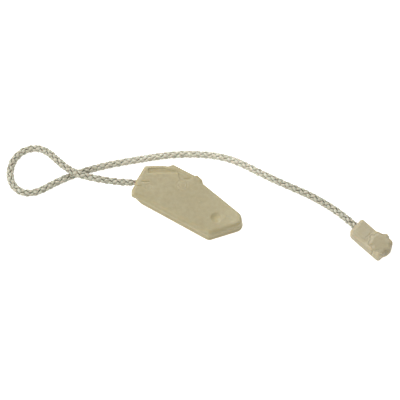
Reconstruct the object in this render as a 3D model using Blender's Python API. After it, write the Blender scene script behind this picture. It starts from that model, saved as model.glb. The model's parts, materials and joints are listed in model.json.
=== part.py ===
"""Pull cord with two moulded end fittings.

A braided cord runs from a large flat wedge fitting (two half shells that trap a crimped
ferrule) round one loop to a small block with a round, lobed end cap. World frame: origin on
the wedge's flat underside, straight below the middle of the crimped ferrule, +X along the cord
channel into the wedge, +Z up. Everything is parented to an empty at the mouth of that channel,
and positions below are counted from the mouth. Lengths are millimetres; meshes are in metres.
"""

import math

import bmesh
import bpy
from mathutils import Vector

MM = 0.001
GAP = 0.3
MOUTH_NAME = "cord_mouth"

# cord
CORD_R = 1.75
CORD_SIDES = 14
FIRST_JOINT = 8.0
LINK_PITCH = 15.5
LINK_COUNT = 20
CAP_LENGTH = 0.55 * CORD_R
JOINT_GAP = GAP / 2
BEND_BLEND = 12.0
# runs of the cord as it lies, from the wedge: (length, turn to the left in degrees)
CORD_RUNS = (
    (6, 0),
    (20, -13),
    (26, -43),
    (11, 46),
    (10, 59),
    (19, 59),
    (10, 59),
    (8, 47),
    (44, -22),
    (25, -2),
    (29, -16),
    (22, -25),
    (33, 6),
    (31, -20),
    (6, 0),
)
CORD_LENGTH = sum(length for length, turn in CORD_RUNS)
CROSSING_Z = 5.6

# wedge fitting
WEDGE_AXIS_Z = 4.0
WEDGE_HEIGHT = 8.0
WEDGE_SPLIT_LOW = WEDGE_AXIS_Z - GAP / 2
WEDGE_SPLIT_HIGH = WEDGE_AXIS_Z + GAP / 2
WEDGE_FLANGE_Z = 1.5
WEDGE_FLANGE = 0.4
CHANNEL_R = CORD_R + GAP
FERRULE_START = 11.4
FERRULE_LENGTH = 9.0
FERRULE_R = 2.6
FERRULE_MIDDLE = FERRULE_START + FERRULE_LENGTH / 2
POCKET_R = FERRULE_R + GAP
CORD_TAIL = 1.2
SHELL_FLOOR = 1.4
STUD_R = 1.6
STUD_TOP = 6.1
# corners of the wedge outline, anticlockwise from above: (x, y, corner radius)
WEDGE_BACK_CORNERS = (
    (39.6, -34.2, 3.0),
    (58.6, -27.6, 4.4),
    (57.9, -21.3, 5.0),
    (37.0, -2.1, 0.5),
    (36.5, 0.5, 1.2),
    (33.0, 4.0, 0.8),
    (32.3, 3.1, 0.4),
    (20.2, 10.2, 1.2),
    (17.1, 9.0, 0.8),
    (15.0, 9.5, 1.0),
    (4.2, 9.2, 1.6),
    (-0.7, 0.0, 3.0),
)
# the base has a plain front corner where the cover carries a rounded tab
BASE_FRONT_CORNERS = (
    (-0.9, -2.8, 1.2),
    (-0.7, -8.0, 2.0),
    (2.6, -11.4, 1.2),
)
COVER_FRONT_CORNERS = (
    (-1.4, -2.9, 0.8),
    (-3.0, -5.6, 1.5),
    (-3.2, -9.5, 1.5),
    (-0.4, -10.6, 1.0),
    (2.6, -11.6, 0.8),
)
# hollow between the shells, clear of the cord channel and the ferrule pocket
HOLLOW_CORNERS = (
    (3.6, -6.4, 1.0),
    (3.6, -9.0, 0.8),
    (40.2, -31.4, 1.5),
    (55.4, -25.6, 1.5),
    (54.2, -22.6, 1.5),
    (36.2, -6.4, 1.5),
)
# sunk ledge in the cover beside the cord channel
LEDGE_CORNERS = (
    (6.0, 3.7, 0.6),
    (22.5, 3.7, 0.5),
    (22.5, 5.5, 0.5),
    (17.2, 6.8, 0.8),
    (15.4, 7.5, 0.8),
    (6.0, 7.2, 0.8),
)
LEDGE_Z = 7.1
# shallower step from the ledge down to the lug
STEP_CORNERS = (
    (20.4, 3.7, 0.3),
    (22.6, 3.6, 0.5),
    (23.7, -0.3, 0.6),
    (29.7, -0.6, 0.6),
    (30.8, 0.9, 0.6),
    (21.0, 6.5, 0.6),
)
STEP_Z = 7.55
DIMPLE_AT = (43.6, -23.9)
DIMPLE_R = 3.1
DIMPLE_DEPTH = 1.1
# locating studs: (x, y, radius of the boss they stand on)
STUDS = ((*DIMPLE_AT, 3.8), (14.5, -10.6, 3.2))

# block fitting, in its own frame: x along the cord, away from the wedge, origin at the mouth
BLOCK_MOUTH = CORD_LENGTH + 2.0
BLOCK_AXIS_Z = 3.1
BLOCK_HEIGHT = 6.2
BLOCK_CORNERS = (
    (-0.9, 5.1, 1.2),
    (0.0, -5.9, 2.2),
    (22.2, -5.9, 1.4),
    (22.2, 5.1, 1.0),
)
LAND_CORNERS = (
    (1.2, 2.1, 0.6),
    (1.2, -3.5, 0.6),
    (9.2, -3.5, 0.6),
    (9.2, 2.1, 0.6),
)
LAND_RISE = 0.2
CAP_AT = (16.8, 1.2)
CAP_R = 6.35
CAP_SEAT_Z = 1.7
CAP_LOBES = 8
LOBE_RISE = 0.45
FIRST_LOBE = math.radians(7)
CAP_STEM_R = 2.0
BLOCK_CHANNEL_END = 2.7
BLOCK_FERRULE_LENGTH = 5.6
BLOCK_FERRULE_R = 2.05
BLOCK_TAIL_R = 1.25


def clear_scene():
    for obj in list(bpy.data.objects):
        bpy.data.objects.remove(obj, do_unlink=True)


def material(name, colour, roughness, metallic=0.0):
    """A Principled material with a plain colour."""
    mat = bpy.data.materials.new(name)
    mat.use_nodes = True
    shader = mat.node_tree.nodes["Principled BSDF"]
    shader.inputs["Base Color"].default_value = (*colour, 1.0)
    shader.inputs["Roughness"].default_value = roughness
    shader.inputs["Metallic"].default_value = metallic
    mat.diffuse_color = (*colour, 1.0)
    return mat


def smoothstep(t):
    t = min(max(t, 0.0), 1.0)
    return t * t * (3.0 - 2.0 * t)


# ---------------------------------------------------------------- cord path


def cord_heading(s):
    """Direction of the cord in plan, in radians, at distance s from the wedge's mouth."""
    samples = 13
    total = 0.0
    for i in range(samples):
        at = s + BEND_BLEND * (i / (samples - 1) - 0.5)
        start = 0.0
        for length, turn in CORD_RUNS:
            total += turn * min(max((at - start) / length, 0.0), 1.0)
            start += length
    return math.radians(180.0 + total / samples)


def cord_height(s):
    """Height of the cord's centre: over the crossing near the wedge, then on the floor."""
    stations = (
        (2.0, WEDGE_AXIS_Z),
        (23.0, CROSSING_Z),
        (45.0, CROSSING_Z),
        (72.0, CORD_R),
        (CORD_LENGTH - 24.0, CORD_R),
        (CORD_LENGTH - 2.0, BLOCK_AXIS_Z),
    )
    height = stations[0][1]
    for (s0, z0), (s1, z1) in zip(stations, stations[1:]):
        height += (z1 - z0) * smoothstep((s - s0) / (s1 - s0))
    return height


def cord_table(step=0.5):
    """Centreline points every step, from inside the wedge to inside the block."""
    start = -30.0
    count = int(round((CORD_LENGTH + 30.0 - start) / step)) + 1
    x, y = -start, 0.0
    table = []
    for i in range(count):
        s = start + i * step
        table.append((s, Vector((x, y, cord_height(s)))))
        middle = cord_heading(s + step / 2)
        x += step * math.cos(middle)
        y += step * math.sin(middle)
    return table


CORD_TABLE = cord_table()


def cord_point(s):
    step = CORD_TABLE[1][0] - CORD_TABLE[0][0]
    place = (s - CORD_TABLE[0][0]) / step
    index = min(max(int(math.floor(place)), 0), len(CORD_TABLE) - 2)
    return CORD_TABLE[index][1].lerp(CORD_TABLE[index + 1][1], place - index)


def cord_frame(s):
    """Centre, tangent, sideways and upward unit vectors of the cord at s."""
    tangent = (cord_point(s + 0.5) - cord_point(s - 0.5)).normalized()
    side = Vector((-tangent.y, tangent.x, 0.0)).normalized()
    return cord_point(s), tangent, side, tangent.cross(side)


def joint_station(index):
    """Distance along the cord of bending joint index, counted from 1."""
    return FIRST_JOINT + LINK_PITCH * (index - 1)


# ---------------------------------------------------------------- mesh helpers


def outline(corners, inset=0.0):
    """Polygon with rounded corners, moved inwards by inset; the point count never changes."""
    count = len(corners)
    lines = []
    for i in range(count):
        a = Vector(corners[i][:2])
        b = Vector(corners[(i + 1) % count][:2])
        along = (b - a).normalized()
        inward = Vector((-along.y, along.x))
        lines.append((a + inward * inset, along))
    points = []
    for i in range(count):
        before, d0 = lines[i - 1]
        after, d1 = lines[i]
        cross = d0.x * d1.y - d0.y * d1.x
        gap = after - before
        corner = before + d0 * ((gap.x * d1.y - gap.y * d1.x) / cross)
        turn = math.atan2(cross, d0.dot(d1))
        radius = corners[i][2] - inset if turn > 0 else corners[i][2] + inset
        radius = max(radius, 0.15)
        reach = radius * math.tan(abs(turn) / 2)
        side = 1.0 if turn > 0 else -1.0
        centre = corner - d0 * reach + Vector((-d0.y, d0.x)) * radius * side
        steps = max(2, int(math.ceil(abs(turn) / math.radians(14))))
        first = math.atan2(d0.y, d0.x) - side * math.pi / 2
        for k in range(steps + 1):
            angle = first + turn * k / steps
            points.append(centre + Vector((math.cos(angle), math.sin(angle))) * radius)
    return points


def circle(radius, sides, centre=(0.0, 0.0)):
    step = 2 * math.pi / sides
    return [
        Vector((centre[0] + radius * math.cos(step * k), centre[1] + radius * math.sin(step * k)))
        for k in range(sides)
    ]


def loft(rings):
    """Closed mesh through rings of equal point count, each a list of 3D points."""
    mesh = bmesh.new()
    loops = [[mesh.verts.new(Vector(p) * MM) for p in ring] for ring in rings]
    for low, high in zip(loops, loops[1:]):
        for k in range(len(low)):
            n = (k + 1) % len(low)
            mesh.faces.new((low[k], low[n], high[n], high[k]))
    mesh.faces.new(list(reversed(loops[0])))
    mesh.faces.new(loops[-1])
    bmesh.ops.recalc_face_normals(mesh, faces=mesh.faces)
    return mesh


def prism(shape, levels):
    """Loft of shape(inset) at each (height, inset) level."""
    return loft([[(p.x, p.y, z) for p in shape(inset)] for z, inset in levels])


def post(x, y, radius, levels):
    """Upright round post centred on (x, y)."""
    return prism(lambda inset: circle(radius - inset, 24, (x, y)), levels)


def lathe(profile, sides):
    """Closed solid turned about +X from (x, radius) points, the first and last on a flat end."""
    rings = []
    for x, radius in profile:
        rings.append([(x, p.x, p.y) for p in circle(radius, sides)])
    return loft(rings)


def tube(profile, sides):
    """Ring-shaped solid turned about +X from a closed loop of (x, radius) points."""
    mesh = bmesh.new()
    rings = []
    for x, radius in profile:
        ring = [mesh.verts.new(Vector((x, p.x, p.y)) * MM) for p in circle(radius, sides)]
        rings.append(ring)
    for i, ring in enumerate(rings):
        other = rings[(i + 1) % len(rings)]
        for k in range(sides):
            n = (k + 1) % sides
            mesh.faces.new((ring[k], ring[n], other[n], other[k]))
    bmesh.ops.recalc_face_normals(mesh, faces=mesh.faces)
    return mesh


def add_object(name, mesh, mat, place=(0.0, 0.0, 0.0), turn=0.0):
    """Links a mesh into the scene as an object at place (mm), turned about Z."""
    data = bpy.data.meshes.new(name)
    mesh.to_mesh(data)
    mesh.free()
    data.materials.append(mat)
    data.shade_smooth()
    data.set_sharp_from_angle(angle=math.radians(35))
    obj = bpy.data.objects.new(name, data)
    obj.location = Vector(place) * MM
    obj.rotation_euler.z = turn
    obj.parent = bpy.data.objects[MOUTH_NAME]
    bpy.context.scene.collection.objects.link(obj)
    return obj


def combine(target, tool_name, mesh, operation="DIFFERENCE"):
    """Cuts or joins a hidden tool mesh, given in the target's own frame."""
    tool = add_object(tool_name, mesh, target.data.materials[0])
    tool.location = target.location
    tool.rotation_euler = target.rotation_euler
    tool.hide_render = True
    tool.display_type = "WIRE"
    step = target.modifiers.new(tool_name, "BOOLEAN")
    step.operation = operation
    step.solver = "EXACT"
    step.object = tool


# ---------------------------------------------------------------- wedge fitting


def base_shape(inset):
    return outline(WEDGE_BACK_CORNERS + BASE_FRONT_CORNERS, inset)


def cover_shape(inset):
    return outline(WEDGE_BACK_CORNERS + COVER_FRONT_CORNERS, inset)


def hollow_shape(inset):
    return outline(HOLLOW_CORNERS, inset)


def cut_cord_seat(shell, prefix):
    """Channel for the cord and the pocket that traps the ferrule, along +X at the split."""
    channel = lathe([(-8.0, CHANNEL_R), (FERRULE_START, CHANNEL_R)], 20)
    bmesh.ops.translate(channel, vec=Vector((0, 0, WEDGE_AXIS_Z)) * MM, verts=channel.verts)
    combine(shell, prefix + "_channel", channel)
    end = FERRULE_START + FERRULE_LENGTH + CORD_TAIL + 2 * GAP
    pocket = lathe([(FERRULE_START - GAP, POCKET_R), (end, POCKET_R)], 20)
    bmesh.ops.translate(pocket, vec=Vector((0, 0, WEDGE_AXIS_Z)) * MM, verts=pocket.verts)
    combine(shell, prefix + "_pocket", pocket)


def build_wedge_base(mat):
    """Lower half shell: outer flange at the floor, open hollow, two studs for the cover."""
    levels = (
        (0.0, 0.45),
        (0.45, 0.0),
        (WEDGE_FLANGE_Z, 0.0),
        (WEDGE_FLANGE_Z, WEDGE_FLANGE),
        (WEDGE_SPLIT_LOW, WEDGE_FLANGE),
    )
    base = add_object("wedge_base", prism(base_shape, levels), mat)
    hollow = prism(hollow_shape, ((SHELL_FLOOR, 0.2), (WEDGE_SPLIT_LOW + 1.0, 0.0)))
    combine(base, "base_hollow", hollow)
    for i, (x, y, boss_r) in enumerate(STUDS):
        boss = post(x, y, boss_r, ((SHELL_FLOOR - 0.6, 0.0), (WEDGE_SPLIT_LOW, 0.0)))
        combine(base, f"base_boss_{i}", boss, "UNION")
        levels = ((WEDGE_SPLIT_LOW - 0.8, 0.0), (STUD_TOP - 0.4, 0.0), (STUD_TOP, 0.35))
        combine(base, f"base_stud_{i}", post(x, y, STUD_R, levels), "UNION")
    cut_cord_seat(base, "base")
    return base


def dimple_tool():
    """Bowl cutter: a shallow spherical cap that opens upwards."""
    ball = (DIMPLE_R**2 + DIMPLE_DEPTH**2) / (2 * DIMPLE_DEPTH)
    low = WEDGE_HEIGHT - DIMPLE_DEPTH
    rings = []
    for k in range(1, 9):
        angle = k / 8 * math.asin(DIMPLE_R / ball)
        z = low + ball * (1 - math.cos(angle))
        rings.append([(p.x, p.y, z) for p in circle(ball * math.sin(angle), 32, DIMPLE_AT)])
    top = circle(DIMPLE_R + 0.25, 32, DIMPLE_AT)
    rings.append([(p.x, p.y, WEDGE_HEIGHT + 0.3) for p in top])
    return loft(rings)


def groove(x0, x1, y, width, depth, slope=0.0):
    """Bar that cuts a straight groove into the wedge's top face."""
    along = Vector((math.cos(slope), math.sin(slope), 0.0))
    across = Vector((-along.y, along.x, 0.0)) * width / 2
    ends = (Vector((x0, y, 0.0)), Vector((x0, y, 0.0)) + along * (x1 - x0))
    low = WEDGE_HEIGHT - depth
    rings = []
    for z, grow in ((low, 0.6), (WEDGE_HEIGHT + 0.5, 1.3)):
        up = Vector((0, 0, z))
        ring = [ends[0] - across * grow, ends[1] - across * grow]
        ring += [ends[1] + across * grow, ends[0] + across * grow]
        rings.append([p + up for p in ring])
    return loft(rings)


def build_wedge_cover(mat):
    """Upper half shell: rounded rim, sunk ledge and step, dimple, grooves round the cord jaw."""
    levels = (
        (WEDGE_SPLIT_HIGH, WEDGE_FLANGE),
        (WEDGE_HEIGHT - 1.5, WEDGE_FLANGE + 0.1),
        (WEDGE_HEIGHT - 0.8, WEDGE_FLANGE + 0.35),
        (WEDGE_HEIGHT - 0.3, WEDGE_FLANGE + 0.85),
        (WEDGE_HEIGHT, WEDGE_FLANGE + 1.6),
    )
    cover = add_object("wedge_cover", prism(cover_shape, levels), mat)
    roof = WEDGE_HEIGHT - SHELL_FLOOR
    combine(cover, "cover_hollow", prism(hollow_shape, ((WEDGE_SPLIT_HIGH - 1.0, 0.0), (roof, 0.2))))
    for i, (x, y, boss_r) in enumerate(STUDS):
        boss = post(x, y, boss_r, ((WEDGE_SPLIT_HIGH, 0.0), (roof + 0.4, 0.0)))
        combine(cover, f"cover_boss_{i}", boss, "UNION")
        levels = ((WEDGE_SPLIT_HIGH - 1.0, 0.0), (STUD_TOP + GAP, 0.0))
        combine(cover, f"cover_socket_{i}", post(x, y, STUD_R + GAP, levels))
    cut_cord_seat(cover, "cover")
    ledge = prism(
        lambda inset: outline(LEDGE_CORNERS, inset),
        ((LEDGE_Z, 0.45), (WEDGE_HEIGHT + 0.5, -0.15)),
    )
    combine(cover, "cover_ledge", ledge)
    step = prism(
        lambda inset: outline(STEP_CORNERS, inset),
        ((STEP_Z, 0.3), (WEDGE_HEIGHT + 0.5, -0.2)),
    )
    combine(cover, "cover_step", step)
    combine(cover, "cover_dimple", dimple_tool())
    combine(cover, "cover_line", groove(4.4, 16.5, 1.4, 0.5, 0.3))
    combine(cover, "cover_slit_0", groove(2.6, 7.3, -1.5, 0.6, 0.5))
    combine(cover, "cover_slit_1", groove(-0.6, 3.2, -4.3, 0.6, 0.5))
    combine(cover, "cover_slot", groove(26.4, 30.0, 0.35, 1.0, 0.8, math.radians(-6)))
    combine(cover, "cover_patch", groove(48.6, 53.4, -24.1, 2.8, 0.15, math.radians(-31)))
    return cover


def ferrule_profile(start, length, outer, inner):
    """Closed section of a crimped sleeve with two crimp bands, running along +X."""
    band = outer - 0.22
    end = start + length
    third = length / 5
    return [
        (start, inner),
        (start, outer - 0.2),
        (start + 0.3, outer),
        (start + third, outer),
        (start + third + 0.25, band),
        (start + 2 * third - 0.25, band),
        (start + 2 * third, outer),
        (start + 3 * third, outer),
        (start + 3 * third + 0.25, band),
        (start + 4 * third - 0.25, band),
        (start + 4 * third, outer),
        (end - 0.3, outer),
        (end, outer - 0.2),
        (end, inner),
    ]


def build_wedge_ferrule(mat):
    profile = ferrule_profile(FERRULE_START, FERRULE_LENGTH, FERRULE_R, CORD_R + GAP)
    return add_object("wedge_ferrule", tube(profile, 20), mat, (0.0, 0.0, WEDGE_AXIS_Z))


# ---------------------------------------------------------------- cord links


def cord_ring(s, radius, origin):
    centre, tangent, side, up = cord_frame(s)
    return [
        centre + (side * p.x + up * p.y) - origin
        for p in circle(radius, CORD_SIDES)
    ]


def link_stations(s0, s1):
    """(station, radius) rings of a link with rounded ends between s0 and s1."""
    stations = []
    for k in range(1, 4):
        angle = k / 3 * math.pi / 2
        stations.append((s0 + CAP_LENGTH * (1 - math.cos(angle)), CORD_R * math.sin(angle)))
    inner0, inner1 = s0 + CAP_LENGTH, s1 - CAP_LENGTH
    pieces = max(2, int(math.ceil((inner1 - inner0) / 2.6)))
    for k in range(1, pieces):
        stations.append((inner0 + (inner1 - inner0) * k / pieces, CORD_R))
    for k in range(3, 0, -1):
        angle = k / 3 * math.pi / 2
        stations.append((s1 - CAP_LENGTH * (1 - math.cos(angle)), CORD_R * math.sin(angle)))
    return stations


def build_link(index, mat):
    """Cord link between two bending joints; the end links run on into the fittings."""
    if index == 1:
        s0 = -(FERRULE_START + FERRULE_LENGTH + CORD_TAIL)
        origin = Vector((0.0, 0.0, WEDGE_AXIS_Z))
    else:
        s0 = joint_station(index - 1) + JOINT_GAP
        origin = cord_point(joint_station(index - 1))
    s1 = joint_station(index) - JOINT_GAP
    stations = end_link_stations(s0) if index == LINK_COUNT else link_stations(s0, s1)
    rings = [cord_ring(s, radius, origin) for s, radius in stations]
    return add_object(f"cord_link_{index:02d}", loft(rings), mat, origin)


def end_link_stations(s0):
    """Last link: full size up to the block's channel, drawn thin where the crimp grips it."""
    s1 = BLOCK_MOUTH + BLOCK_CHANNEL_END + BLOCK_FERRULE_LENGTH + CORD_TAIL
    neck = BLOCK_MOUTH + BLOCK_CHANNEL_END - 1.2
    stations = link_stations(s0, neck + CAP_LENGTH)[:-3]
    stations.append((neck, CORD_R))
    stations.append((neck + 1.0, BLOCK_TAIL_R))
    stations += [(s1 - 0.5, BLOCK_TAIL_R), (s1 - 0.15, BLOCK_TAIL_R * 0.8), (s1, BLOCK_TAIL_R * 0.4)]
    return stations


# ---------------------------------------------------------------- block fitting


def block_shape(inset):
    return outline(BLOCK_CORNERS, inset)


def cap_disc(radius, levels, sides=48):
    return prism(lambda inset: circle(radius - inset, sides, CAP_AT), levels)


def lobed_circle(inset):
    """Circle that swells into broad, evenly spaced lobes."""
    sides = 12 * CAP_LOBES
    points = []
    for k in range(sides):
        angle = 2 * math.pi * k / sides
        reach = CAP_R - inset + LOBE_RISE * math.cos(CAP_LOBES * (angle - FIRST_LOBE))
        points.append(
            Vector((CAP_AT[0] + reach * math.cos(angle), CAP_AT[1] + reach * math.sin(angle)))
        )
    return points


def build_block_body(mat, place, turn):
    """Rounded box with the cord channel, the ferrule pocket and the seat of the end cap."""
    levels = (
        (0.0, 0.5),
        (0.4, 0.08),
        (0.8, 0.0),
        (BLOCK_HEIGHT - 1.6, 0.0),
        (BLOCK_HEIGHT - 0.9, 0.25),
        (BLOCK_HEIGHT - 0.35, 0.75),
        (BLOCK_HEIGHT, 1.5),
    )
    body = add_object("block_body", prism(block_shape, levels), mat, place, turn)
    foot_levels = ((0.0, 0.45), (0.45, 0.0), (CAP_SEAT_Z - GAP, 0.0))
    combine(body, "block_foot", cap_disc(CAP_R, foot_levels), "UNION")
    land = prism(
        lambda inset: outline(LAND_CORNERS, inset),
        ((BLOCK_HEIGHT - 1.0, 0.0), (BLOCK_HEIGHT + LAND_RISE, 0.3)),
    )
    combine(body, "block_land", land, "UNION")
    seat_levels = ((CAP_SEAT_Z - GAP, 0.0), (BLOCK_HEIGHT + 1.0, 0.0))
    seat = prism(lambda inset: lobed_circle(inset - 1.15 * GAP), seat_levels)
    combine(body, "block_seat", seat)
    hole = prism(
        lambda inset: circle(CAP_STEM_R + GAP - inset, 20, CAP_AT),
        ((-1.0, 0.0), (CAP_SEAT_Z + 1.0, 0.0)),
    )
    combine(body, "block_stem_hole", hole)
    channel = lathe([(-2.0, CHANNEL_R), (BLOCK_CHANNEL_END, CHANNEL_R)], 20)
    bmesh.ops.translate(channel, vec=Vector((0, 0, BLOCK_AXIS_Z)) * MM, verts=channel.verts)
    combine(body, "block_channel", channel)
    pocket_r = BLOCK_FERRULE_R + GAP
    pocket = lathe([(BLOCK_CHANNEL_END - GAP, pocket_r), (CAP_AT[0] - 5.0, pocket_r)], 20)
    bmesh.ops.translate(pocket, vec=Vector((0, 0, BLOCK_AXIS_Z)) * MM, verts=pocket.verts)
    combine(body, "block_pocket", pocket)
    return body


def build_block_cap(mat, place, turn):
    """Domed end cap with a lobed rim and a stem through the block's floor."""
    levels = (
        (CAP_SEAT_Z, 0.0),
        (4.6, 0.0),
        (5.6, 0.3),
        (6.1, 0.9),
        (6.4, 2.0),
    )
    cap = add_object("block_cap", prism(lobed_circle, levels), mat, place, turn)
    stem = prism(
        lambda inset: circle(CAP_STEM_R - inset, 20, CAP_AT),
        ((0.3, 0.3), (0.6, 0.0), (CAP_SEAT_Z + 0.8, 0.0)),
    )
    combine(cap, "cap_stem", stem, "UNION")
    return cap


def build_block_ferrule(mat, place, turn):
    profile = ferrule_profile(
        BLOCK_CHANNEL_END, BLOCK_FERRULE_LENGTH, BLOCK_FERRULE_R, BLOCK_TAIL_R + GAP
    )
    lifted = Vector(place) + Vector((0, 0, BLOCK_AXIS_Z))
    return add_object("block_ferrule", tube(profile, 20), mat, lifted, turn)


# ---------------------------------------------------------------- assembly


def build():
    clear_scene()
    mouth = bpy.data.objects.new(MOUTH_NAME, None)
    mouth.location.x = -FERRULE_MIDDLE * MM
    bpy.context.scene.collection.objects.link(mouth)
    nylon_base = material("nylon_wedge_base", (0.42, 0.36, 0.22), 0.42)
    nylon_cover = material("nylon_wedge_cover", (0.48, 0.42, 0.27), 0.40)
    nylon_block = material("nylon_block_body", (0.45, 0.38, 0.25), 0.42)
    nylon_cap = material("nylon_block_cap", (0.38, 0.33, 0.22), 0.42)
    cord = material("cord_polyester", (0.60, 0.56, 0.42), 0.62)
    zinc = material("ferrule_zinc", (0.62, 0.62, 0.60), 0.35, 0.9)

    build_wedge_base(nylon_base)
    build_wedge_cover(nylon_cover)
    build_wedge_ferrule(zinc)
    for index in range(1, LINK_COUNT + 1):
        build_link(index, cord)

    entry = cord_point(BLOCK_MOUTH)
    place = (entry.x, entry.y, 0.0)
    turn = cord_heading(BLOCK_MOUTH)
    build_block_body(nylon_block, place, turn)
    build_block_cap(nylon_cap, place, turn)
    build_block_ferrule(zinc, place, turn)


build()
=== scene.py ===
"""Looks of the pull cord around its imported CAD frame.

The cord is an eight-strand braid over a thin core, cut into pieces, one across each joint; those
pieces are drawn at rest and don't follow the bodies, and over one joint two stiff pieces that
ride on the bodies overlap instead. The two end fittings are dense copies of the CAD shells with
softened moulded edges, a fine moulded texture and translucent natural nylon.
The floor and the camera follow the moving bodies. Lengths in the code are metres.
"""

import json
import math

import bpy
import numpy as np
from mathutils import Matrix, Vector
from mathutils.kdtree import KDTree

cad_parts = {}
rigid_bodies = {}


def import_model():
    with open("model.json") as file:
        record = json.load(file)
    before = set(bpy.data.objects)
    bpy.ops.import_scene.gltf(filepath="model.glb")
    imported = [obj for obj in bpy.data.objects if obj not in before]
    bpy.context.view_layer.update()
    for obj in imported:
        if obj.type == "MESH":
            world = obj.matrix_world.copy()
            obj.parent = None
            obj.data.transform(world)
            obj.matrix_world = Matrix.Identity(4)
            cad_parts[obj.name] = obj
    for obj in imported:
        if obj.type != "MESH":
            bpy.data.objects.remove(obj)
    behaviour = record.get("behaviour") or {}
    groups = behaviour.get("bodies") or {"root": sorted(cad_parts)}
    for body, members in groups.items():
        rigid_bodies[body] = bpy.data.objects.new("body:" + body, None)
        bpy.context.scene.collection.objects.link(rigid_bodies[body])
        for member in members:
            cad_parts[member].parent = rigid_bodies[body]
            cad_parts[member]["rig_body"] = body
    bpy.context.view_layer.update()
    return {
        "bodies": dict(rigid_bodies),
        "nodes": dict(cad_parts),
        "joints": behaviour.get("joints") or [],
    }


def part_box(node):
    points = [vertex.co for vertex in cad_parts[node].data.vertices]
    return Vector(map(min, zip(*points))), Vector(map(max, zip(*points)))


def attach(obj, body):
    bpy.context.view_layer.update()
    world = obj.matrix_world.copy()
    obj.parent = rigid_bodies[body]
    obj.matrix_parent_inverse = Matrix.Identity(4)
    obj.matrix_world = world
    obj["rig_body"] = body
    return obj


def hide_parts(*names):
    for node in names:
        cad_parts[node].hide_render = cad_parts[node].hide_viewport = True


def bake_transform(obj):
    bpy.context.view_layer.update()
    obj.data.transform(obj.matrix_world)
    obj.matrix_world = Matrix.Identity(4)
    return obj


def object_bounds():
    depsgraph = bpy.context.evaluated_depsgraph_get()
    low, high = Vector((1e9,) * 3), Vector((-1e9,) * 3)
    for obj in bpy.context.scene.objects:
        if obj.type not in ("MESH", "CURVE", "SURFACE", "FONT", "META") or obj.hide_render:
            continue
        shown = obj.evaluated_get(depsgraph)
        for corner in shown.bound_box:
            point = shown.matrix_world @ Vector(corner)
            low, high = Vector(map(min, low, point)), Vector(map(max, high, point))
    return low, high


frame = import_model()

MM = 0.001
SEED = 11

# braid: eight strands winding both ways round the core, over two and under two
STRANDS_EACH_WAY = 4
PITCH = 17.9 * MM
MEAN_R = 1.36 * MM
SWING = 0.45 * MM
COLUMN_TURN = math.radians(22.5)
# the braid's height as a share of its width
FLATNESS = 0.75
STRAND_HALF_WIDTH = 0.88 * MM
STRAND_HALF_THICKNESS = 0.41 * MM
STRAND_SIDES = 20
STATION_STEP = 0.32 * MM
# distance either way over which a strand's direction is read
SLOPE_REACH = 0.06 * MM
CORE_R = 0.55 * MM
CORE_SIDES = 10
# a strand's section: powers that square it off, ridges round it, the radius it wraps round
SECTION_POWERS = (0.86, 0.80)
RIDGE = 0.035
RIDGES = 7
WRAP_R = 1.7 * MM
# a strand's width and thickness between its crowns, and how much they vary with the crown
CROWN_WIDTH = (0.86, 0.14)
CROWN_THICKNESS = (0.95, 0.07)
# waves that a wandering value is made of, and the sum they are taken to reach
WAVES = 4
WAVES_SUM = 2.6
# unevenness of the braid, each with the length along the cord over which it varies
DRIFT, DRIFT_LENGTH = math.radians(16), 70 * MM
STRAY, STRAY_LENGTH = math.radians(3.5), 9 * MM
HEAVE, HEAVE_LENGTH = 0.035 * MM, 7 * MM
FILLING, FILLING_LENGTH = 0.07, 11 * MM

# steps in which the centreline is read from the CAD links and then drawn
READING_STEP = 4 * MM
FINE_STEP = 0.05 * MM
# the lighter middle stretch of the cord, in millimetres from its end in the wedge
LIGHT_STRETCH_AT = 222.0
LIGHT_STRETCH_REACH = 30.0
# the braid drawn thin in the wedge's mouth and where the block's crimp grips it
MOUTH_SHARE = 0.82
MOUTH_EASE = 4.0 * MM
NECK_LENGTH = 8.2 * MM
NECK_SHARE = 0.70
NECK_EASE = 1.2 * MM
# joints that are treated apart because of how the cord looks with every joint at its low limit:
# two stiff pieces lap over the first kind, and pieces over the second kind are given their ends
# far side first, which draws the same piece
LAPPED = (8,)
LAP = 0.6 * MM
FROM_FAR_SIDE = (1, 4, 5, 10)

# yarn
YARN_LIGHT_STRETCH = (0.80, 0.775, 0.64)
YARN_DIM_STRETCH = (0.565, 0.548, 0.436)
YARN_STREAK = (0.18, 0.162, 0.10)
YARN_GREY = (0.34, 0.34, 0.29)
# the next tone is painted shade in the braid's gaps, where strands dip under others and on the
# core
YARN_GAP_SHADE = (0.040, 0.032, 0.014)

# moulded shells: CAD node, finish, grain of the copy, passes that soften its edges, swelling
VOXEL = 0.215 * MM
BLOCK_VOXEL = 0.14 * MM
SHELLS = (
    ("wedge_cover", "nylon_cover", VOXEL, 26, 0.15 * MM),
    ("wedge_base", "nylon_base", VOXEL, 5, 0.10 * MM),
    ("block_body", "nylon_block", BLOCK_VOXEL, 14, 0.20 * MM),
    ("block_cap", "nylon_cap", BLOCK_VOXEL, 5, 0.20 * MM),
)
# the cap's edge brought up to the block's top face
SEAM_REACH = 1.8 * MM
SEAM_DEPTH = 2.2 * MM
SEAM_RIM = 0.6 * MM
SEAM_STEP = 0.15 * MM
SEAM_FIRMNESS = 1.4
# reach over which a point counts as sunk or proud, and the share of it that counts in full
CAVITY_REACH = 1.0 * MM
CAVITY_FULL = 0.25
# marks on the wedge's top face: share of its length and width, radius, half width, depth
MOULD_MARKS = (
    (0.16, 0.66, 1.9 * MM, 0.35 * MM, 0.06 * MM),
    (0.46, 0.69, 3.0 * MM, 0.40 * MM, 0.07 * MM),
    (0.46, 0.69, 1.5 * MM, 0.35 * MM, 0.05 * MM),
    (0.62, 0.45, 0.0, 0.55 * MM, -0.12 * MM),
    (0.62, 0.34, 0.0, 0.50 * MM, -0.08 * MM),
    (0.39, 0.37, 0.0, 0.50 * MM, -0.08 * MM),
)
# depth of the skin that the marks move
MARKED_SKIN = 0.2 * MM
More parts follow.
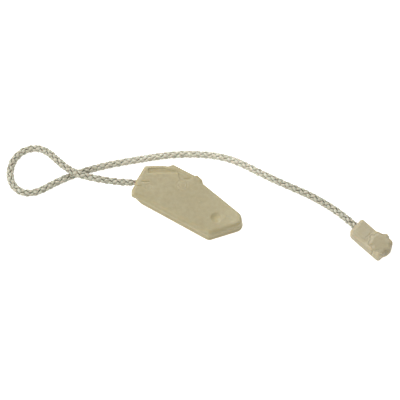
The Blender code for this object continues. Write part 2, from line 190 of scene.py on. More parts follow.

# natural nylon: its lighter and darker tones, a hollow tone for flecks and for painted shade on
# sunk ledges, painted-shade factors for the top face and the walls, and a crease tone that paints
# light into the creases of the cover, block and cap and shade and dirt into those of the base
PLAIN = (1.0, 1.0, 1.0)
NYLON = {
    "nylon_cover": {
        "light": (0.358, 0.318, 0.193),
        "dark": (0.292, 0.253, 0.141),
        "hollow": (0.305, 0.246, 0.108),
        "face": (0.895, 0.890, 0.860),
        "wall": PLAIN,
        "crease_paint": (0.500, 0.440, 0.270),
    },
    "nylon_base": {
        "light": (0.362, 0.318, 0.190),
        "dark": (0.306, 0.262, 0.146),
        "hollow": (0.245, 0.200, 0.096),
        "face": PLAIN,
        "wall": PLAIN,
        "crease_paint": (0.330, 0.285, 0.160),
    },
    "nylon_block": {
        "light": (0.386, 0.345, 0.230),
        "dark": (0.322, 0.281, 0.176),
        "hollow": (0.262, 0.216, 0.118),
        "face": (0.93, 0.93, 0.94),
        "wall": PLAIN,
        "crease_paint": (0.62, 0.56, 0.42),
    },
    "nylon_cap": {
        "light": (0.363, 0.321, 0.211),
        "dark": (0.301, 0.261, 0.159),
        "hollow": (0.235, 0.192, 0.106),
        "face": (0.94, 0.94, 0.94),
        "wall": (0.80, 0.78, 0.75),
        "crease_paint": (0.62, 0.56, 0.42),
    },
}
# the top face is lighter towards the wedge's nose: distances from its tip where that starts and
# is complete
NOSE_START = 22 * MM
NOSE_FULL = 5 * MM
NOSE_TONE = (1.04, 1.06, 1.10)
# heights below the top face between which upward faces on a ledge get painted shade in the hollow
# tone
LEDGE_FROM = (0.15 * MM, 0.9 * MM)
LEDGE_TO = (2.4 * MM, 1.6 * MM)

# view; the picture is VIEW_WIDTH across at the part, and a pose is kept VIEW_MARGIN inside it
ELEVATION = math.radians(62)
LENS = 400.0
SENSOR = 36.0
VIEW_WIDTH = 0.220
VIEW_MARGIN = 1.5 * MM
CLIP_END = 50.0
AIM_OFFSET = (0.8 * MM, 0.3 * MM, 0.0)
# drop from the cord's centre to its underside, and the floor's distance under the lowest marker
CORD_DROP = 1.85 * MM
FLOOR_GAP = 0.6 * MM
FLOOR_HALF = 6.0

# light
GLOW_ABOVE = 1.0
GLOW_BELOW = 1.30
GLOW_FADE = (-0.5, 0.6)
GLOW_COLOUR = (1.0, 0.995, 0.985)
FLOOR_GLOW = 0.55
LAMP_DISTANCE = 1.4
LAMPS = (
    ("key", (-0.30, 0.60, 0.74), 0.6, 10.5),
    ("fill", (-0.85, -0.38, 0.36), 0.8, 8.0),
)

joints = {joint["name"]: joint for joint in frame["joints"]}


# ---------------------------------------------------------------- reading the frame


def triangles(node):
    """Corner positions of a CAD node's triangles, as an (n, 3, 3) array."""
    mesh = frame["nodes"][node].data
    mesh.calc_loop_triangles()
    corners = np.empty(len(mesh.loop_triangles) * 3, np.int32)
    mesh.loop_triangles.foreach_get("vertices", corners)
    points = np.empty(len(mesh.vertices) * 3, np.float32)
    mesh.vertices.foreach_get("co", points)
    return points.reshape(-1, 3)[corners].reshape(-1, 3, 3).astype(float)


def section(node, point, normal):
    """Segments in which the plane through point cuts a CAD node, as an (n, 2, 3) array."""
    corners = triangles(node)
    height = (corners - np.array(point)) @ np.array(normal)
    # no corner is left exactly on the plane
    height[np.abs(height) < 1e-9] = 1e-9
    ends = []
    for a in range(3):
        b = (a + 1) % 3
        crosses = height[:, a] * height[:, b] < 0
        share = np.zeros(len(corners))
        share[crosses] = height[crosses, a] / (height[crosses, a] - height[crosses, b])
        place = corners[:, a] + share[:, None] * (corners[:, b] - corners[:, a])
        ends.append((crosses, place))
    segments = []
    for a in range(3):
        b = (a + 1) % 3
        both = ends[a][0] & ends[b][0]
        segments.append(np.stack([ends[a][1][both], ends[b][1][both]], axis=1))
    return np.concatenate(segments)


def section_centre(node, point, normal):
    """Middle of a CAD node's outline on the plane through point."""
    cut = section(node, point, normal)
    length = np.linalg.norm(cut[:, 1] - cut[:, 0], axis=1)
    return Vector((cut.mean(axis=1) * length[:, None]).sum(axis=0) / length.sum())


def bend_joints():
    """The cord's bending joints, in order from the wedge."""
    names = [name for name in joints if name.startswith("cord_")]
    return [joints[name] for name in sorted(names, key=lambda name: int(name[-2:]))]


def link_names():
    """The cord's CAD links, in order from the wedge."""
    return sorted(name for name in frame["nodes"] if name.startswith("cord_link_"))


def centre_points():
    """Points on the cord's centre, from its end in the wedge to its end in the block."""
    links = link_names()
    bends = [Vector(joint["pos_m"]) for joint in bend_joints()]
    first = Vector((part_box(links[0])[1].x, bends[0].y, bends[0].z))
    swivel = joints["block_swivel"]
    pivot = Vector(swivel["pos_m"])
    axis = Vector(swivel["axis"]).normalized()
    if axis.dot(pivot - bends[-1]) < 0:
        axis = -axis
    corners = triangles(links[-1]).reshape(-1, 3)
    last = pivot + axis * max((Vector(corner) - pivot).dot(axis) for corner in corners)
    stops = [first] + bends + [last]
    points = []
    for link, a, b in zip(links, stops, stops[1:]):
        if link != links[0]:
            points.append(a)
        parts = max(3, int(round((b - a).length / READING_STEP)))
        for k in range(1, parts):
            points.append(section_centre(link, a.lerp(b, k / parts), (b - a).normalized()))
    tip = points[0] + Vector((first.x - points[0].x, 0, 0))
    return [tip] + points + [last]


# ---------------------------------------------------------------- the cord's centreline


class Centreline:
    """Smooth curve through points, with level sideways and upward directions along it."""

    def __init__(self, points):
        p = np.array([list(point) for point in points])
        chord = np.concatenate([[0.0], np.cumsum(np.linalg.norm(np.diff(p, axis=0), axis=1))])
        bend = second_derivatives(chord, p)
        fine = np.linspace(0.0, chord[-1], int(chord[-1] / FINE_STEP))
        self.place = cubic(chord, p, bend, fine)
        step = np.linalg.norm(np.diff(self.place, axis=0), axis=1)
        self.along = np.concatenate([[0.0], np.cumsum(step)])
        tangent = unit(np.gradient(self.place, self.along, axis=0))
        self.side = unit(np.cross(np.array([0.0, 0.0, 1.0]), tangent))
        self.up = np.cross(tangent, self.side)
        self.length = self.along[-1]
        self.mouth = self.place[0][0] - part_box("wedge_base")[0].x

    def read(self, values, s):
        """Values kept along the curve, taken at the distances s."""
        return np.stack([np.interp(s, self.along, values[:, k]) for k in range(3)], axis=-1)

    def nearest(self, point):
        """Distance along the curve to the place nearest a point."""
        gap = np.linalg.norm(self.place - np.array(point), axis=1)
        return float(self.along[int(gap.argmin())])

    def point(self, s):
        return Vector(self.read(self.place, np.array([s]))[0])


def unit(vectors):
    return vectors / np.linalg.norm(vectors, axis=-1, keepdims=True)


def second_derivatives(t, p):
    """Second derivatives of the natural cubic through the points p at the values t."""
    h = np.diff(t)
    count = len(t)
    matrix = np.eye(count)
    right = np.zeros_like(p)
    for i in range(1, count - 1):
        matrix[i, i - 1 : i + 2] = h[i - 1], 2 * (h[i - 1] + h[i]), h[i]
        right[i] = 6 * ((p[i + 1] - p[i]) / h[i] - (p[i] - p[i - 1]) / h[i - 1])
    return np.linalg.solve(matrix, right)


def cubic(t, p, bend, at):
    """The cubic's positions at the values at."""
    i = np.clip(np.searchsorted(t, at, side="right") - 1, 0, len(t) - 2)
    h = (t[i + 1] - t[i])[:, None]
    a = (t[i + 1] - at)[:, None] / h
    b = 1 - a
    curve = ((a**3 - a) * bend[i] + (b**3 - b) * bend[i + 1]) * h**2 / 6
    return a * p[i] + b * p[i + 1] + curve


def wander(s, seed, wavelength):
    """Smooth wandering value between about -1 and 1 along s, the same on every run."""
    draw = np.random.default_rng(seed)
    total = np.zeros_like(s)
    for _ in range(WAVES):
        length = wavelength * draw.uniform(0.6, 1.8)
        total += np.sin(2 * math.pi * (s / length + draw.uniform()))
    return total / WAVES_SUM


# ---------------------------------------------------------------- the braid


def smooth(t):
    """Eased step from 0 to 1."""
    t = np.clip(t, 0, 1)
    return t * t * (3 - 2 * t)


def squeeze(s, line):
    """Share of the braid's full thickness, less in the wedge's mouth and in the block's crimp."""
    neck = line.length - NECK_LENGTH
    thinned = (1 - MOUTH_SHARE) * (1 - smooth((s - line.mouth) / MOUTH_EASE))
    return 1 - thinned - (1 - NECK_SHARE) * smooth((s - neck) / NECK_EASE)


def strand_seed(hand, index):
    return SEED + 10 * index + (5 if hand > 0 else 0)


def strand_centre(line, s, hand, index):
    """Positions, outward directions and crown share of one strand at distances s."""
    seed = strand_seed(hand, index)
    phase = 2 * math.pi * s / PITCH
    drift = DRIFT * wander(s, SEED, DRIFT_LENGTH)
    angle = hand * phase + index * 2 * math.pi / STRANDS_EACH_WAY + COLUMN_TURN + drift
    angle = angle + STRAY * wander(s, seed, STRAY_LENGTH)
    wave = np.cos(STRANDS_EACH_WAY * phase)
    crown = hand * wave * (1.25 - 0.25 * wave**2)
    radius = MEAN_R + SWING * crown + HEAVE * wander(s, seed + 1, HEAVE_LENGTH)
    radius = radius * squeeze(s, line)
    side, up = line.read(line.side, s), line.read(line.up, s)
    sideways, upwards = np.cos(angle)[:, None] * side, np.sin(angle)[:, None] * up
    offset = (sideways + FLATNESS * upwards) * radius[:, None]
    outward = unit(FLATNESS * sideways + upwards)
    return line.read(line.place, s) + offset, outward, crown


def strand_rings(line, s, hand, index):
    """Ring of points round the strand at each distance, with the values its finish uses."""
    before = strand_centre(line, s - SLOPE_REACH, hand, index)[0]
    after = strand_centre(line, s + SLOPE_REACH, hand, index)[0]
    centre, outward, crown = strand_centre(line, s, hand, index)
    tangent = unit(after - before)
    normal = unit(outward - (outward * tangent).sum(axis=1)[:, None] * tangent)
    across = np.cross(tangent, normal)
    share = squeeze(s, line)
    fullness = 1 + FILLING * wander(s, strand_seed(hand, index) + 2, FILLING_LENGTH)
    width = CROWN_WIDTH[0] + CROWN_WIDTH[1] * crown
    thickness = CROWN_THICKNESS[0] + CROWN_THICKNESS[1] * crown
    wide = STRAND_HALF_WIDTH * width * fullness * share
    thick = STRAND_HALF_THICKNESS * thickness * share / fullness**0.5
    turn = np.arange(STRAND_SIDES) * 2 * math.pi / STRAND_SIDES
    cos, sin = np.cos(turn), np.sin(turn)
    x = np.sign(cos) * np.abs(cos) ** SECTION_POWERS[0]
    y = np.sign(sin) * np.abs(sin) ** SECTION_POWERS[1]
    ridge = 1 + RIDGE * np.cos(RIDGES * turn + 1.3 * index)
    sideways = wide[:, None] * (x * ridge)[None, :]
    droop = sideways**2 / (2 * WRAP_R)
    outwards = thick[:, None] * (y * ridge)[None, :] - droop
    rings = centre[:, None, :] + sideways[..., None] * across[:, None, :]
    rings = rings + outwards[..., None] * normal[:, None, :]
    return rings, crown


class Tubes:
    """Closed tubes gathered into one mesh, with the values that its finish uses at each point."""

    def __init__(self, s):
        self.s = s
        self.count = 0
        self.points, self.quads, self.caps = [], [], []
        self.values = {
            "strand_across": [],
            "strand_along": [],
            "strand_tint": [],
            "strand_crown": [],
        }

    def add(self, rings, across, tint, crown, reverse=False):
        """Adds a tube from its rings of points, reversed if they turn the other way."""
        stations, sides = rings.shape[:2]
        first, last = self.count, self.count + (stations - 1) * sides
        ring = np.arange(sides)
        low = np.arange(stations - 1)[:, None] * sides
        corners = (
            low + ring,
            low + sides + ring,
            low + sides + (ring + 1) % sides,
            low + (ring + 1) % sides,
        )
        quads = (np.stack(corners, axis=-1) + first).reshape(-1, 4)
        near, far = list(range(first, first + sides)), list(range(last, last + sides))
        if reverse:
            quads, near = quads[:, ::-1], near[::-1]
        else:
            far = far[::-1]
        self.points.append(rings.reshape(-1, 3))
        self.quads.append(quads)
        self.caps += [near, far]
        kept = (across, (self.s / MM)[:, None], tint, crown)
        for values, value in zip(self.values.values(), kept):
            values.append(np.broadcast_to(value, (stations, sides)).ravel())
        self.count += stations * sides

    def build(self, name):
        """An object of the gathered tubes, rounded but for their flat ends."""
        mesh = bpy.data.meshes.new(name)
        faces = np.concatenate(self.quads).tolist() + self.caps
        mesh.from_pydata(np.concatenate(self.points).tolist(), [], faces)
        for key, parts in self.values.items():
            attribute = mesh.attributes.new(key, "FLOAT", "POINT")
            attribute.data.foreach_set("value", np.concatenate(parts).astype(np.float32))
        rounded = np.ones(len(faces), bool)
        rounded[-len(self.caps) :] = False
        mesh.polygons.foreach_set("use_smooth", rounded)
        mesh.update()
        piece = bpy.data.objects.new(name, mesh)
        bpy.context.scene.collection.objects.link(piece)
        return piece


def core_rings(line, s):
    """Ring of points round the core at each distance."""
    turn = (np.arange(CORE_SIDES) * 2 * math.pi / CORE_SIDES)[None, :, None]
    side = line.read(line.side, s)[:, None, :]
    up = FLATNESS * line.read(line.up, s)[:, None, :]
    outward = np.cos(turn) * side + np.sin(turn) * up
    size = CORE_R * squeeze(s, line)[:, None, None]
    return line.read(line.place, s)[:, None, :] + outward * size


def braid_piece(name, line, start, end):
    """The braid between two distances along the cord, as one mesh of eight strands and a core."""
    stations = max(3, int(round((end - start) / STATION_STEP)) + 1)
    s = np.linspace(start, end, stations)
    tubes = Tubes(s)
    across = np.abs(np.arange(STRAND_SIDES) / STRAND_SIDES - 0.5) * 2
    for hand in (1, -1):
        for index in range(STRANDS_EACH_WAY):
            rings, crown = strand_rings(line, s, hand, index)
            tint = (index * 2 + (hand > 0)) / (2 * STRANDS_EACH_WAY - 1)
            tubes.add(rings, across, tint, crown[:, None])
    # the core's crown of -1 gives it the full painted gap shade
    tubes.add(core_rings(line, s), 0.5, 0.5, -1.0, reverse=True)
    return tubes.build(name)


def stiff_piece(name, line, start, end, body, link):
    """A piece of braid that rides on one body in place of its CAD link."""
    piece = braid_piece(name, line, start, end)
    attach(piece, body)
    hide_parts(link)
    return piece


def bent_piece(name, line, start, end, replaced):
    """A piece of braid across a joint, drawn at rest and attached to neither body."""
    piece = braid_piece(name, line, min(start, end), max(start, end))
    line.point(start)
    line.point(end)
    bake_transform(piece)
    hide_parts(*replaced)
    return piece


def build_cord(line, finish):
    """The whole cord: stiff ends that ride in the fittings, and a piece over each joint."""
    links = link_names()
    bends = bend_joints()
    stops = [line.nearest(joint["pos_m"]) for joint in bends]
    half = (stops[-1] - stops[0]) / (len(stops) - 1) / 2
    middles = [(a + b) / 2 for a, b in zip(stops, stops[1:])]
    cuts = [stops[0] - half] + middles + [stops[-1] + half]
    pieces = [stiff_piece("cord_wedge_end", line, 0.0, cuts[0], bends[0]["parent"], links[0])]
    for k, joint in enumerate(bends):
        name = f"cord_braid_{k + 1:02d}"
        near, far = joint["parent"], joint["child"]
        start, middle, end = cuts[k], stops[k], cuts[k + 1]
        pair = links[k : k + 2]
        if k + 1 in LAPPED:
            pieces += [
                stiff_piece(name + "_near", line, start, middle + LAP, near, pair[0]),
                stiff_piece(name + "_far", line, middle - LAP, end, far, pair[1]),
            ]
        elif k + 1 in FROM_FAR_SIDE:
            pieces.append(bent_piece(name, line, end, start, pair))
        else:
            pieces.append(bent_piece(name, line, start, end, pair))
    tip = bends[-1]["child"]
    pieces.append(stiff_piece("cord_block_end", line, cuts[-1], line.length, tip, links[-1]))
    for piece in pieces:
        piece.data.materials.append(finish)


# ---------------------------------------------------------------- finishes


class Nodes:
    """Short calls for building one material's nodes."""

    def __init__(self, name):
        self.material = bpy.data.materials.new(name)
        self.material.use_nodes = True
        self.tree = self.material.node_tree
        self.shader = self.tree.nodes["Principled BSDF"]

    def add(self, kind, inputs=None, **settings):
        node = self.tree.nodes.new("ShaderNode" + kind)
        for key, value in settings.items():
            setattr(node, key, value)
        for key, value in (inputs or {}).items():
            self.put(node.inputs[key], value)
        return node

    def put(self, socket, value):
        if isinstance(value, bpy.types.NodeSocket):
            self.tree.links.new(value, socket)
        else:
            socket.default_value = value

    def set(self, **inputs):
        for key, value in inputs.items():
            self.put(self.shader.inputs[key.replace("_", " ")], value)

    def place(self):
        return self.add("TexCoord").outputs["Object"]

    def attribute(self, name):
        return self.add("Attribute", attribute_name=name).outputs["Fac"]

    def math(self, operation, a, b=0.0):
        node = self.add("Math", operation=operation)
        self.put(node.inputs[0], a)
        self.put(node.inputs[1], b)
        return node.outputs[0]

    def split(self, vector, axis):
        return self.add("SeparateXYZ", {"Vector": vector}).outputs[axis]

    def spread(self, value, low, high, to_low=0.0, to_high=1.0):
        """A value taken from the range low..high to the range to_low..to_high."""
        ranges = {"Value": value, "From Min": low, "From Max": high}
        ranges.update({"To Min": to_low, "To Max": to_high})
        return self.add("MapRange", ranges).outputs["Result"]

    def noise(self, vector, scale, detail=3.0, roughness=0.55):
        inputs = {"Vector": vector, "Scale": scale, "Detail": detail, "Roughness": roughness}
        return self.add("TexNoise", inputs).outputs["Fac"]

    def mix(self, share, a, b, mode="MIX"):
        node = self.add("Mix", data_type="RGBA", blend_type=mode)
        self.put(node.inputs[0], share)
        self.put(node.inputs[6], (*a, 1.0) if isinstance(a, tuple) else a)
        self.put(node.inputs[7], (*b, 1.0) if isinstance(b, tuple) else b)
        return node.outputs[2]

    def bump(self, height, distance, strength=1.0, normal=None):
        inputs = {"Height": height, "Distance": distance, "Strength": strength}
        if normal is not None:
            inputs["Normal"] = normal
        return self.add("Bump", inputs).outputs["Normal"]


def nylon(name, top, nose, light, dark, hollow, face, wall, crease_paint):
    """Natural nylon: milky and mottled, with darker, yellower painted shade on faces sunk below
    the top face, painted shade on the top face and walls, painted light and shade in creases, and
    a painted highlight on proud edges.
    """
    n = Nodes(name)
    place = n.place()
    blotch = n.spread(n.noise(place, 150.0, 4.0, 0.6), 0.32, 0.68)
    flow = n.spread(n.noise(place, 42.0, 2.0, 0.5), 0.35, 0.65)
    mottle = n.spread(n.noise(place, 520.0, 3.0, 0.6), 0.33, 0.67)
    fleck = n.spread(n.noise(place, 1500.0, 2.0, 0.7), 0.3, 0.7)
    colour = n.mix(n.math("MULTIPLY", blotch, 0.45), light, dark)
    colour = n.mix(n.math("MULTIPLY", flow, 0.40), colour, dark)
    colour = n.mix(mottle, colour, dark)
    colour = n.mix(n.math("MULTIPLY", fleck, 0.12), colour, hollow)
    height = n.split(place, "Z")
    upward = n.spread(n.split(n.add("TexCoord").outputs["Normal"], "Z"), 0.70, 0.95)
    # painted shade, darker and yellower, on upward faces sunk below the top face
    below = upward
    for low, high in (LEDGE_FROM, LEDGE_TO):
        below = n.math("MULTIPLY", below, n.spread(height, top - low, top - high))
    colour = n.mix(n.math("MULTIPLY", below, 0.60), colour, hollow)
    # the top face gets lighter towards the wedge's nose
    nose_ramp = n.spread(n.split(place, "X"), *nose)
    top_face_tone = n.mix(nose_ramp, face, NOSE_TONE)
    # painted shade: the top face is multiplied by face and the walls by wall
    colour = n.mix(1.0, colour, n.mix(upward, wall, top_face_tone), "MULTIPLY")
    cavity = n.attribute("cavity")
    sunk = n.spread(cavity, 0.05, 0.8)
    proud = n.spread(cavity, -0.05, -0.9)
    # painted light in the creases of the cover, block and cap, standing in for light through the
    # nylon; painted shade and dirt along the base's creases
    colour = n.mix(n.math("MULTIPLY", sunk, 0.75), colour, crease_paint)
    # painted highlight on proud edges, standing in for light through the translucent rims
    pale = tuple(min(1.0, c * 1.16 + 0.01) for c in light)
    colour = n.mix(n.math("MULTIPLY", proud, 0.85), colour, pale)
    grain = n.noise(place, 2600.0, 3.0, 0.6)
    waves = n.noise(place, 260.0, 2.0, 0.5)
    normal = n.bump(waves, 0.10 * MM, 0.55)
    normal = n.bump(grain, 0.02 * MM, 0.5, normal)
    gloss = n.spread(blotch, 0.0, 1.0, 0.42, 0.54)
    n.set(Base_Color=colour, Roughness=gloss, IOR=1.53, Normal=normal)
    n.set(Subsurface_Weight=0.85, Subsurface_Scale=1.3 * MM)
    n.set(Subsurface_Radius=(1.0, 0.72, 0.42))
    return n.material


def cord_yarn():
    """Off-white filament yarn: fine lengthwise filaments, a silky shine, painted shade in the
    gaps.
    """
    n = Nodes("cord_yarn")
    across = n.attribute("strand_across")
    along = n.attribute("strand_along")
    tint = n.attribute("strand_tint")
    crown = n.attribute("strand_crown")
    weave = n.add("CombineXYZ")
    for key, value, scale in (("X", across, 11.0), ("Y", along, 0.55), ("Z", tint, 40.0)):
        n.put(weave.inputs[key], n.math("MULTIPLY", value, scale))
    filament = n.noise(weave.outputs[0], 1.0, 3.0, 0.7)
    streak = n.spread(filament, 0.3, 0.7)
    # the yarn is lighter round the middle stretch and dimmer away from it
    away = n.math("ABSOLUTE", n.math("SUBTRACT", along, LIGHT_STRETCH_AT))
    dim_stretch = n.spread(away, LIGHT_STRETCH_REACH, 2 * LIGHT_STRETCH_REACH)
    light = n.mix(dim_stretch, YARN_LIGHT_STRETCH, YARN_DIM_STRETCH)
    colour = n.mix(streak, YARN_STREAK, light)
    colour = n.mix(n.spread(tint, 0.0, 1.0, 0.0, 0.25), colour, YARN_GREY)
    # painted shade where strands dip under others and on the core, stronger along the dimmer
    # stretches
    gap_shade_share = n.spread(dim_stretch, 0.0, 1.0, 0.45, 0.96)
    gap_shade = n.math("MULTIPLY", n.spread(crown, 0.65, -0.50), gap_shade_share)
    colour = n.mix(gap_shade, colour, YARN_GAP_SHADE)
    normal = n.bump(filament, 0.09 * MM, 0.8)
    n.set(Base_Color=colour, Roughness=n.spread(streak, 0.0, 1.0, 0.50, 0.34), Normal=normal)
    n.set(Subsurface_Weight=0.12, Subsurface_Scale=0.4 * MM)
    n.set(Sheen_Weight=0.25, Sheen_Roughness=0.4)
    return n.material


def zinc():
    """Zinc-plated crimp: satin metal with fine scratches round it."""
    n = Nodes("zinc_crimp")
    place = n.place()
    stretch = n.add("Mapping", {"Vector": place, "Scale": (1.0, 6.0, 6.0)}).outputs[0]
    scratch = n.noise(stretch, 900.0, 4.0, 0.7)
    cloud = n.noise(place, 320.0, 3.0, 0.6)
    colour = n.mix(cloud, (0.52, 0.52, 0.50), (0.70, 0.70, 0.68))
    n.set(Base_Color=colour, Metallic=0.95, Roughness=n.spread(scratch, 0.3, 0.7, 0.28, 0.5))
    n.set(Normal=n.bump(scratch, 0.02 * MM, 0.6))
    return n.material


# ---------------------------------------------------------------- moulded fittings


def moulded(node, voxel, softening, swelling, finish):
    """An even, dense copy of a CAD shell whose edges are softened like a moulding's."""
    name = node + "_shell"
    source = frame["nodes"][node]
    piece = bpy.data.objects.new(name, source.data.copy())
    bpy.context.scene.collection.objects.link(piece)
    even = piece.modifiers.new("even", "REMESH")
    even.mode = "VOXEL"
    even.voxel_size = voxel
    even.use_smooth_shade = True
    soft = piece.modifiers.new("soft", "SMOOTH")
    soft.factor = 0.5
    soft.iterations = softening
    swell = piece.modifiers.new("swell", "DISPLACE")
    swell.mid_level = 0.0
    swell.strength = swelling
    bpy.context.view_layer.update()
    shaped = piece.evaluated_get(bpy.context.evaluated_depsgraph_get())
    mesh = bpy.data.meshes.new_from_object(shaped)
    piece.modifiers.clear()
    piece.data = mesh
    mesh.name = name
    mesh.materials.clear()
    mesh.materials.append(finish)
    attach(piece, source["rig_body"])
    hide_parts(node)
    return mesh


def mark_cavities(mesh, reach, voxel):
    """Stores how sunk (positive) or proud (negative) each point is against its surroundings."""
    count = len(mesh.vertices)
    points = np.empty(count * 3, np.float32)
    mesh.vertices.foreach_get("co", points)
    points = points.reshape(-1, 3).astype(float)
    normals = np.empty(count * 3, np.float32)
    mesh.vertices.foreach_get("normal", normals)
    edges = np.empty(len(mesh.edges) * 2, np.int32)
    mesh.edges.foreach_get("vertices", edges)
    a, b = edges.reshape(-1, 2).T
    degree = np.bincount(a, minlength=count) + np.bincount(b, minlength=count)
    spread = points.copy()
    for _ in range(int((reach / voxel) ** 2)):
        total = np.stack(
            [
                np.bincount(a, spread[b, k], count) + np.bincount(b, spread[a, k], count)
                for k in range(3)
            ],
            axis=1,
        )
        spread = 0.5 * spread + 0.5 * total / degree[:, None]
    rise = ((spread - points) * normals.reshape(-1, 3)).sum(axis=1) / (CAVITY_FULL * reach)
    attribute = mesh.attributes.new("cavity", "FLOAT", "POINT")
    attribute.data.foreach_set("value", np.clip(rise, -1, 1).astype(np.float32))


def press_marks(mesh, low, high):
    """Presses the mould's faint rings and ejector dots into the top face."""
    points = np.empty(len(mesh.vertices) * 3, np.float32)
    mesh.vertices.foreach_get("co", points)
    points = points.reshape(-1, 3)
    upper = points[:, 2] > high.z - MARKED_SKIN
    for x_share, y_share, radius, width, depth in MOULD_MARKS:
        x = low.x + x_share * (high.x - low.x)
        y = low.y + y_share * (high.y - low.y)
        reach = np.hypot(points[:, 0] - x, points[:, 1] - y)
        points[:, 2] -= upper * depth * np.exp(-(((reach - radius) / width) ** 2))
    mesh.vertices.foreach_set("co", points.ravel())
    mesh.update()


def close_seam(cap, body, top):
    """Brings the cap's rounded edge up to the block's top face where the two meet."""
    rim = [vertex.co for vertex in body.vertices if vertex.co.z > top - SEAM_RIM]
    tree = KDTree(len(rim))
    for index, place in enumerate(rim):
        tree.insert((place.x, place.y, 0.0), index)
    tree.balance()
    for vertex in cap.vertices:
        if vertex.co.z > top - SEAM_DEPTH:
            gap = tree.find((vertex.co.x, vertex.co.y, 0.0))[2]
            share = float(smooth(SEAM_FIRMNESS * (1 - gap / SEAM_REACH)))
            vertex.co.z += share * max(0.0, top - SEAM_STEP - vertex.co.z)
    cap.update()


def build_fittings():
    """The four moulded shells with their finishes, and the finish of the two crimps."""
    low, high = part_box("wedge_cover")
    block_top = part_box("block_body")[1].z
    nose = (high.x - NOSE_START, high.x - NOSE_FULL)
    beyond = (1.0, 2.0)
    meshes = {}
    for node, name, voxel, softening, swelling in SHELLS:
        of_wedge = node.startswith("wedge")
        top, nose_ramp = (high.z, nose) if of_wedge else (block_top, beyond)
        finish = nylon(name, top, nose_ramp, **NYLON[name])
        meshes[node] = moulded(node, voxel, softening, swelling, finish)
    press_marks(meshes["wedge_cover"], low, high)
    close_seam(meshes["block_cap"], meshes["block_body"], block_top)
    for node, _, voxel, _, _ in SHELLS:
        mark_cavities(meshes[node], CAVITY_REACH, voxel)
    crimp = zinc()
    for node in ("wedge_ferrule", "block_ferrule"):
        frame["nodes"][node].data.materials[0] = crimp


# ---------------------------------------------------------------- stage


def empty(name, parent=None):
    """A point that isn't rendered."""
    mark = bpy.data.objects.new(name, None)
    mark.parent = parent
    bpy.context.scene.collection.objects.link(mark)
    return mark


def build_marks(line, lowest):
    """Unseen markers on the moving bodies, which the floor and the camera follow."""
    bends = bend_joints()
    stops = [line.nearest(joint["pos_m"]) for joint in bends] + [line.length]
    drop = Vector((0, 0, CORD_DROP))
    places = []
    for joint, start, end in zip(bends, stops, stops[1:]):
        for s in (start, (start + end) / 2):
            places.append((joint["child"], line.point(s) - drop))
    for node in ("wedge_cover", "block_body"):
        low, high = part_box(node)
        for x in (low.x, high.x):
            for y in (low.y, high.y):
                for z in (lowest, high.z):
                    places.append((frame["nodes"][node]["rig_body"], (x, y, z)))
    marks = []
    for k, (body, place) in enumerate(places):
        mark = empty(f"mark_{k:02d}", frame["bodies"][body])
        mark.location = place
        marks.append(mark)
    return marks


def drive(owner, index, kind, marks, axes, space="WORLD_SPACE", expression=""):
    """Makes one coordinate of an empty follow one coordinate of each marker."""
    driver = owner.driver_add("location", index).driver
    driver.type = kind
    if len(axes) == 1:
        axes = axes * len(marks)
    for k, (mark, letter) in enumerate(zip(marks, axes)):
        variable = driver.variables.new()
        variable.name = f"v{k}"
        variable.type = "TRANSFORMS"
        target = variable.targets[0]
        target.id = mark
        target.transform_type = "LOC_" + letter
        target.transform_space = space
    if expression:
        driver.expression = expression


def build_floor(marks):
    """A wide pale floor just under the lowest point of the part, wherever its joints put it."""
    mesh = bpy.data.meshes.new("floor")
    half = FLOOR_HALF
    corners = [(-half, -half, 0), (half, -half, 0), (half, half, 0), (-half, half, 0)]
    mesh.from_pydata(corners, [], [(0, 1, 2, 3)])
    lift = empty("floor_lift")
    drive(lift, 2, "MIN", marks, "Z")
    floor = bpy.data.objects.new("floor", mesh)
    floor.parent = lift
    floor.location.z = -FLOOR_GAP
    floor.visible_diffuse = False
    floor.visible_glossy = False
    bpy.context.scene.collection.objects.link(floor)
    n = Nodes("floor_paper")
    grain = n.noise(n.place(), 60.0, 3.0)
    n.set(Base_Color=n.mix(grain, (0.88, 0.88, 0.875), (0.91, 0.91, 0.905)), Roughness=0.85)
    n.set(Emission_Color=(1.0, 1.0, 1.0, 1.0), Emission_Strength=FLOOR_GLOW)
    mesh.materials.append(n.material)


def area_light(name, place, target, size, power):
    """A round soft light that the camera doesn't see."""
    data = bpy.data.lights.new(name, "AREA")
    data.shape = "DISK"
    data.size = size
    data.energy = power
    light = bpy.data.objects.new(name, data)
    light.location = place
    light.rotation_mode = "QUATERNION"
    light.rotation_quaternion = (Vector(place) - Vector(target)).to_track_quat("Z", "Y")
    light.visible_camera = False
    bpy.context.scene.collection.objects.link(light)


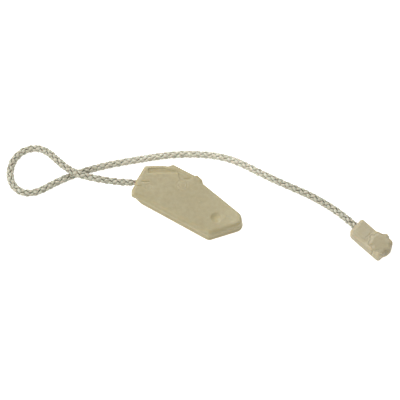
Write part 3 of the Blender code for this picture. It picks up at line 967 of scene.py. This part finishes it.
def build_world():
    """Soft studio surround, a little brighter from below, like the air over a light table."""
    world = bpy.data.worlds.new("studio")
    world.use_nodes = True
    tree = world.node_tree
    height = tree.nodes.new("ShaderNodeSeparateXYZ")
    tree.links.new(tree.nodes.new("ShaderNodeTexCoord").outputs["Generated"], height.inputs[0])
    fade = tree.nodes.new("ShaderNodeMapRange")
    fade.inputs["From Min"].default_value = GLOW_FADE[0]
    fade.inputs["From Max"].default_value = GLOW_FADE[1]
    fade.inputs["To Min"].default_value = GLOW_BELOW
    fade.inputs["To Max"].default_value = GLOW_ABOVE
    tree.links.new(height.outputs["Z"], fade.inputs["Value"])
    tree.links.new(fade.outputs["Result"], tree.nodes["Background"].inputs["Strength"])
    tree.nodes["Background"].inputs["Color"].default_value = (*GLOW_COLOUR, 1.0)
    bpy.context.scene.world = world


def build_camera(target, marks):
    """Camera on a boom that backs away when a pose reaches out of the picture."""
    data = bpy.data.cameras.new("camera")
    data.lens = LENS
    data.sensor_width = SENSOR
    data.clip_end = CLIP_END
    rig = empty("camera_rig")
    rig.location = target
    rig.rotation_mode = "QUATERNION"
    back = Vector((0.0, -math.cos(ELEVATION), math.sin(ELEVATION)))
    rig.rotation_quaternion = back.to_track_quat("Z", "Y")
    seen = []
    for mark in marks:
        shadow = empty("seen_" + mark.name, rig)
        follow = shadow.constraints.new("COPY_LOCATION")
        follow.target = mark
        seen.append(shadow)
    least, most = empty("seen_least"), empty("seen_most")
    for index, axis in enumerate("XY"):
        drive(least, index, "MIN", seen, axis, "LOCAL_SPACE")
        drive(most, index, "MAX", seen, axis, "LOCAL_SPACE")
    boom = empty("camera_boom", rig)
    reach = VIEW_WIDTH / 2 - VIEW_MARGIN
    distance = VIEW_WIDTH * LENS / SENSOR
    rule = f"{distance} * max(1, max(max(-v0, -v1), max(v2, v3)) / {reach})"
    drive(boom, 2, "SCRIPTED", (least, least, most, most), "XYXY", "WORLD_SPACE", rule)
    camera = bpy.data.objects.new("camera", data)
    camera.parent = boom
    camera.rotation_mode = "QUATERNION"
    bpy.context.scene.collection.objects.link(camera)
    bpy.context.scene.camera = camera


line = Centreline(centre_points())
build_cord(line, cord_yarn())
build_fittings()

low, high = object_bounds()
centre = (low + high) / 2
marks = build_marks(line, low.z)
build_floor(marks)
build_world()
for name, direction, size, power in LAMPS:
    area_light(name, centre + Vector(direction) * LAMP_DISTANCE, centre, size, power)
build_camera(centre + Vector(AIM_OFFSET), marks)
bpy.context.scene.view_settings.view_transform = "Standard"
